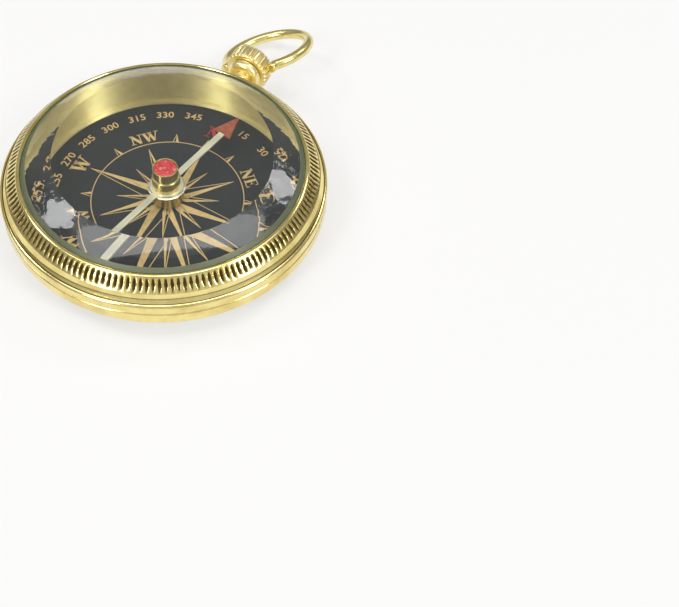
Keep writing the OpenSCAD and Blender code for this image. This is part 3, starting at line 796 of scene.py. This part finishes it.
# ------------------------------ Needle
# A strip of magnetised spring steel, bright nickel over it, with an arrowhead dipped in red
# lacquer that has gone a little brown and uneven. It is clamped between washer and cap.
def nickel(name, tone, roughness, marks_mm=2.0):
    """Bright nickel plate over steel or brass: white metal with a warm cast, faintly hazed."""
    return mottled(name, {"Base Color": linear(tone), "Metallic": 1.0}, (marks_mm,) * 3, 4.0, 0.65,
                   rough_range=(0.35, 0.7, roughness, roughness + 0.14), relief_um=1.0)


# Dipped red lacquer on steel: brick red, thin and brownish in patches, soft gloss
red_lacquer = mottled(
    "dipped_red_lacquer", {"Roughness": 0.38, "Coat Weight": 0.3, "Coat Roughness": 0.2},
    (0.9,) * 3, 4.0, 0.6, ("#A5452F", "#C56A4C"), (0.35, 0.65, 0.0, 1.0), relief_um=12.0)


def flat_piece(outline, low, high, edge, turn):
    """A flat strip of metal from a closed outline in mm, between two heights, its upper and
    lower rims broken by edge."""
    shape = bmesh.new()
    spin = Matrix.Rotation(turn, 3, "Z")
    inner = []
    for i, point in enumerate(outline):
        here, before, after = (Vector(p) for p in (
            point, outline[i - 1], outline[(i + 1) % len(outline)]))
        into, on = here - before, after - here
        first, second = Vector((into.y, -into.x)).normalized(), Vector((on.y, -on.x)).normalized()
        outward = (first + second).normalized()
        inner.append(here - outward * edge / max(0.4, outward.dot(first)))
    skin(shape, [[shape.verts.new((spin @ Vector((*p, height))) * MM) for p in ring]
                 for ring, height in ((inner, low), (outline, low + edge), (outline, high - edge),
                                      (inner, high))])
    return finished(mesh_from(shape), 20)


needle_turn = -math.radians(11.5)
blade_low, blade_high, blade_half, head_half = 3.85, 4.15, 0.5, 1.65
needle_tip, head_base, tail_end = 17.8, 13.3, 16.5
# The blade widens to a disc round the hub; both are cut from one strip
hub_rim = 2.55
wide = math.degrees(math.asin(blade_half / hub_rim))
blade_outline = (
    [(blade_half, head_base + 0.6), (-blade_half, head_base + 0.6)]
    + arc((0, 0), hub_rim, 90 + wide, 270 - wide, 14)
    + arc((0, -tail_end), blade_half, 180, 360, 8)
    + arc((0, 0), hub_rim, -90 + wide, 90 - wide, 14))
head_outline = [(-head_half, head_base), (-0.35, head_base + 0.1), (0.35, head_base + 0.1),
                (head_half, head_base), (1.5, head_base + 0.45), (0.12, needle_tip - 0.1),
                (-0.12, needle_tip - 0.1), (-1.5, head_base + 0.45)]
blade = new_object("needle_blade", flat_piece(
    blade_outline, blade_low, blade_high, 0.04, needle_turn),
    nickel("nickelled_needle", "#FAF1D8", 0.4))
lacquer_t = 0.01
head = new_object("needle_head", flat_piece(
    head_outline, blade_low - lacquer_t, blade_high + lacquer_t, 0.05, needle_turn), red_lacquer)
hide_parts("needle")
for piece in (blade, head):
    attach(piece, "rotor")


# ------------------------------ Hub: collar, washer, cap, jewel
# Turned brass parts clamp the needle: a collar under it, a bright washer that shows past both,
# and a two-step cap above. A red stone in the cap's top turns on the pin.
collar = new_object("hub_collar_turned", turned(eased([
    (1.4, 1.35), (2.45, 1.35, 0.08), (2.55, 1.5, 0.06), (2.55, 3.45, 0.05), (2.5, 3.6, 0.04),
    (1.7, 3.6), (1.7, 4.9), (1.4, 4.9)]), 96), hub_brass)
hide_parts("hub_collar")
bright_nickel = nickel("bright_washer_nickel", "#EAE2C8", 0.2, 1.6)
washer = new_object("hub_washer_domed", turned(eased([
    (1.72, 3.6), (2.9, 3.6, 0.04), (2.9, 3.68, 0.04), (2.5, 3.8), (2.0, 3.85), (1.72, 3.85)]), 96),
    bright_nickel)
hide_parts("hub_washer")
cap = new_object("hub_cap_turned", turned(eased([
    (1.72, 4.16), (2.1, 4.16, 0.06), (2.15, 4.4, 0.06), (2.15, 5.8, 0.08), (1.98, 5.95, 0.03),
    (1.85, 5.98, 0.03), (1.85, 6.06, 0.03), (1.95, 6.12, 0.04), (1.95, 7.6, 0.06),
    (1.87, 7.65, 0.03), (1.78, 7.62, 0.02), (1.75, 7.5), (1.75, 6.45), (1.4, 6.45), (1.4, 4.92),
    (1.72, 4.92)]), 96), hub_brass)
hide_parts("hub_cap")


def red_stone():
    """Red glass stone with a foiled back: deep red, with painted highlights: brighter in the middle
    of small cells as if facets caught light, and pale painted glints in a few cells.
    """
    material, tree, surface = new_material("foiled_red_glass", {
        "Roughness": 0.2, "IOR": 1.55, "Coat Weight": 0.25, "Coat Roughness": 0.05,
        "Specular IOR Level": 0.4})
    place = add(tree, "ShaderNodeTexCoord").outputs["Object"]
    # Painted highlights: small cells are brightest in their middles, as if facets caught light, and
    # a few cells get pale painted glints
    cells = add(tree, "ShaderNodeTexVoronoi", inputs={
        "Vector": place, "Scale": 1 / (0.45 * MM)})
    deep = add(tree, "ShaderNodeMapRange", inputs={
        "Value": cells.outputs["Distance"], "From Min": 0.1, "From Max": 0.75})
    shade = add(tree, "ShaderNodeMix", {"data_type": "RGBA"}, {
        0: deep.outputs[0], 6: linear("#FF5C5C"), 7: linear("#EA2A32")})
    lot = add(tree, "ShaderNodeSeparateColor", inputs={0: cells.outputs["Color"]})
    painted_glint = add(tree, "ShaderNodeMapRange", inputs={
        "Value": lot.outputs[0], "From Min": 0.8, "From Max": 0.9, "To Max": 0.8})
    lit = add(tree, "ShaderNodeMix", {"data_type": "RGBA"}, {
        0: painted_glint.outputs[0], 6: shade.outputs[2], 7: linear("#F7A7A4")})
    fill(tree, surface, {"Base Color": lit.outputs[2]})
    return material


def faceted_stone(radius, low, girdle, crown, table_share=0.55, sides=12):
    """A round stone: straight to the girdle, then two rows of facets up to a small flat table."""
    shape = bmesh.new()
    rows = []
    for r, z, offset in ((radius, low, 0), (radius, girdle, 0),
                         (radius * 0.8, girdle + (crown - girdle) * 0.7, 0.5),
                         (radius * table_share, crown, 0)):
        rows.append([shape.verts.new((r * x * MM, r * y * MM, z * MM))
                     for x, y in unit_circle(sides, offset)])
    for k in range(sides):
        j = (k + 1) % sides
        shape.faces.new((rows[0][k], rows[0][j], rows[1][j], rows[1][k]))
        shape.faces.new((rows[1][k], rows[1][j], rows[2][k]))
        shape.faces.new((rows[1][j], rows[2][j], rows[2][k]))
        shape.faces.new((rows[2][k], rows[3][j], rows[3][k]))
        shape.faces.new((rows[2][k], rows[2][j], rows[3][j]))
    shape.faces.new(rows[0][::-1])
    shape.faces.new(rows[3])
    return finished(mesh_from(shape), 5)


jewel = new_object("hub_jewel_stone", faceted_stone(1.73, 6.46, 7.45, 7.64), red_stone())
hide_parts("hub_jewel")
for piece, slot in (
        (collar, "hub_brass"), (washer, "washer"), (cap, "hub_brass"), (jewel, "jewel")):
    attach(piece, "rotor")


# ------------------------------ Pendant neck and collar
# A plain turned tube screwed into the case's wall ends in a bell-shaped collar: the crown butts
# against it. Both are lathe work, buffed with the case but deeper in colour.
pendant_z = 5.6


def laid_on_pendant(mesh, along=0.0, turn=0.0, tilt=-90.0):
    """Lays a mesh on the pendant's axis: tilted about X, turned about the axis, moved along it.
    The usual tilt lays down a piece made along +Z."""
    mesh.transform(Matrix.Translation((0, along * MM, pendant_z * MM))
                   @ Matrix.Rotation(-math.radians(turn), 4, "Y")
                   @ Matrix.Rotation(math.radians(tilt), 4, "X"))
    return mesh


# Its last value gives the crown's flutes only a little of the tarnish and painted shade
crown_brass = polished_brass("buffed_crown_brass", "#FDEDB2", "#F0D488", 0.3, 8.0, 0.15)
neck = new_object("pendant_neck_turned", laid_on_pendant(turned(eased([
    (0, 22.3), (1.5, 22.3), (1.5, 25.15), (1.38, 25.2, 0.02), (1.38, 25.3, 0.02), (1.5, 25.35),
    (1.5, 25.5), (1.38, 25.55, 0.02), (1.38, 25.65, 0.02), (1.5, 25.7), (1.5, 27.4), (0.77, 27.4),
    (0.77, 23.3), (0, 23.3)]), 72, True)), crown_brass)
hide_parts("pendant_neck")
bell = new_object("pendant_collar_turned", laid_on_pendant(turned(
    [(1.52, 26.0), (1.95, 26.0)] + hollow((2.06, 26.02), (2.82, 26.9), 0.22, 8)
    + eased([(2.85, 27.05, 0.03), (2.85, 27.3, 0.08), (2.75, 27.4, 0.04), (1.52, 27.4)]), 96)),
    crown_brass)
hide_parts("pendant_collar")
for piece in (neck, bell):
    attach(piece, "case")


# ------------------------------ Crown
# Turned brass, milled with 30 round-bottomed flutes, drilled through for its screw and cross
# drilled for the bow. It turns on the screw, and sits 24 degrees round as photographed.
crown_y, crown_long, crown_turn, crown_flutes = 27.55, 3.2, 24, 30
crown_cut = ((-0.5, 0), (-0.36, 0), (-0.29, 0.45), (-0.17, 0.85), (0, 1), (0.17, 0.85),
             (0.29, 0.45), (0.36, 0), (0.5, 0))
crown_outline = (
    plain([(0.8, 0.0)])
    + [(r, y, push, -1, 0) for r, y, push in (
        (2.6, 0.0, 0), (3.15, 0.0, 0), (3.4, 0.06, 0.25), (3.58, 0.2, 0.8), (3.7, 0.36, 1),
        (3.7, 1.4, 1), (3.7, 2.5, 1), (3.6, 2.72, 1), (3.4, 2.95, 0.85), (3.15, 3.12, 0.35),
        (2.9, 3.2, 0), (2.3, 3.2, 0))]
    + plain(eased([(2.2, 3.1, 0.05), (1.9, 3.1, 0.05), (1.8, 3.2, 0.04), (0.8, 3.2)])))
crown = repeated("crown_fluted", fluted_sector([crown_outline], crown_flutes, 0.25, crown_cut),
                 crown_flutes, crown_brass, sharp=28)
laid_on_pendant(crown.data, crown_y, crown_turn)
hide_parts("crown")
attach(crown, "crown")


# ------------------------------ Crown screw
# The crown turns on a screw let into the neck. Its head is a smooth round knob, turned and
# buffed, that keeps the crown on.
knob = new_object("crown_screw_knob", laid_on_pendant(turned(
    [(0, 23.32), (0.74, 23.32), (0.74, 30.9), (1.68, 30.9), (1.8, 31.02)]
    + arc((1.15, 31.7), 0.65, 0, 90, 8) + [(0.5, 32.35), (0, 32.35)], 72, True)), crown_brass)
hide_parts("crown_screw")
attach(knob, "case")


# ------------------------------ Bow
# Brass wire bent into an open ring. Its ends are straight for a little way, swaged down to pins
# and sprung into the crown's sides. Buffed by hand, so it is a little flattened in places.
wire_r, bow_r, bow_tilt, leg_x, leg_l, pin_r, pin_inner = 0.85, 7.3, -11, 4.7, 0.6, 0.55, 2.4
bow_y = crown_y + crown_long * 0.47
bow_reach = leg_l + math.sqrt(bow_r ** 2 - leg_x ** 2)
open_angle = math.degrees(math.asin(leg_x / bow_r))


def swept(path, radii, sides=20):
    """A closed tube through the points of a flat path, with a radius at each."""
    shape = bmesh.new()
    rings = []
    for i, (point, radius) in enumerate(zip(path, radii)):
        way = Vector(path[min(i + 1, len(path) - 1)]) - Vector(path[max(i - 1, 0)])
        side = way.cross(Vector((0, 0, 1))).normalized()
        up = side.cross(way.normalized())
        rings.append([shape.verts.new((Vector(point) + (side * x + up * y) * radius) * MM)
                      for x, y in unit_circle(sides)])
    skin(shape, rings)
    return finished(mesh_from(shape), 50)


ring_path = [(x, y, 0)
             for x, y in arc((0, bow_reach), bow_r, open_angle - 90, 270 - open_angle, 96)]
leg_end = wire_r * 0.8
leg_steps = (-leg_end, -leg_end * 0.9, -leg_end * 0.6, 0, leg_l * 0.5)
right_leg = [(leg_x, y, 0) for y in leg_steps]
left_leg = [(-leg_x, y, 0) for y in leg_steps[::-1]]
tips = [wire_r * 0.75, wire_r * 0.93, wire_r, wire_r, wire_r]
wire = new_object("bow_wire", swept(right_leg + ring_path + left_leg,
                                    tips + [wire_r] * len(ring_path) + tips[::-1]))
pins = [new_object("bow_pin", swept(
    [(side * x, 0, 0) for x in (pin_inner, pin_inner + 0.1, leg_x)],
    [pin_r * 0.8, pin_r, pin_r], 16)) for side in (-1, 1)]
bow = joined_as("bow_wire_ring", [wire] + pins,
                polished_brass("buffed_bow_wire", "#F4E6A0", "#CFB768", 0.18, 10.0))
finished(laid_on_pendant(bow.data, bow_y, crown_turn, bow_tilt), 50)
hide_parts("bow")
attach(bow, "bow")
